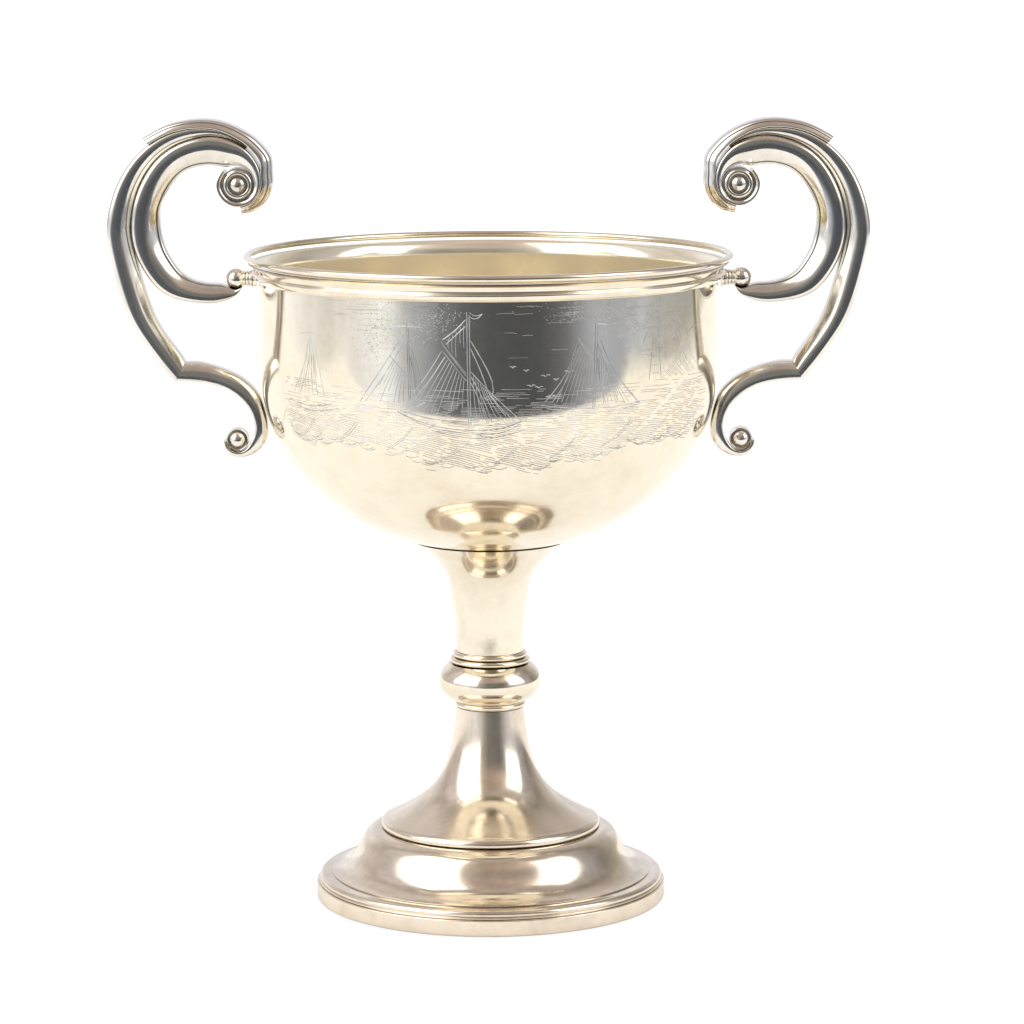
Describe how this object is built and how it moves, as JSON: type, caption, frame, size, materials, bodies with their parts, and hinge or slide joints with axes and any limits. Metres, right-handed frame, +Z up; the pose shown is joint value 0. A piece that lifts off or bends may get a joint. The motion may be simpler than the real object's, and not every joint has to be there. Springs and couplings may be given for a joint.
{
  "type": "cup trophy",
  "caption": "Tall presentation cup with a deep bowl, scrolled side handles, a knopped stem and a stepped round foot.",
  "frame": {"origin": "centre of the foot's underside, on the table", "axes": "+Z up along the cup's axis; the handles lie along X; the front of the bowl faces -Y"},
  "size_m": [0.2306, 0.1482, 0.2398],
  "materials": {
    "silver": "polished silver, lightly tarnished",
    "bowl_silver": "polished silver outside with bright-cut engraving, warm and satin inside",
    "cast_silver": "polished cast silver, tarnished in the hollows"
  },
  "bodies": {
    "root": {"foot_band": "silver", "foot_moulding": "silver", "foot_dome": "silver", "trumpet_foot": "silver", "lower_collar": "silver", "knop": "silver", "wide_collar": "silver", "narrow_collar": "silver", "upper_stem": "silver", "bowl": "bowl_silver", "rim_band": "silver", "rim_bead": "silver", "right_main_scroll": "cast_silver", "right_leg": "cast_silver", "right_cap": "cast_silver", "right_volute_boss": "cast_silver", "right_rim_ball": "cast_silver", "right_rim_neck": "cast_silver", "right_lower_scroll": "cast_silver", "right_lower_ball": "cast_silver", "left_main_scroll": "cast_silver", "left_leg": "cast_silver", "left_cap": "cast_silver", "left_volute_boss": "cast_silver", "left_rim_ball": "cast_silver", "left_rim_neck": "cast_silver", "left_lower_scroll": "cast_silver", "left_lower_ball": "cast_silver"}
  },
  "joints": []
}
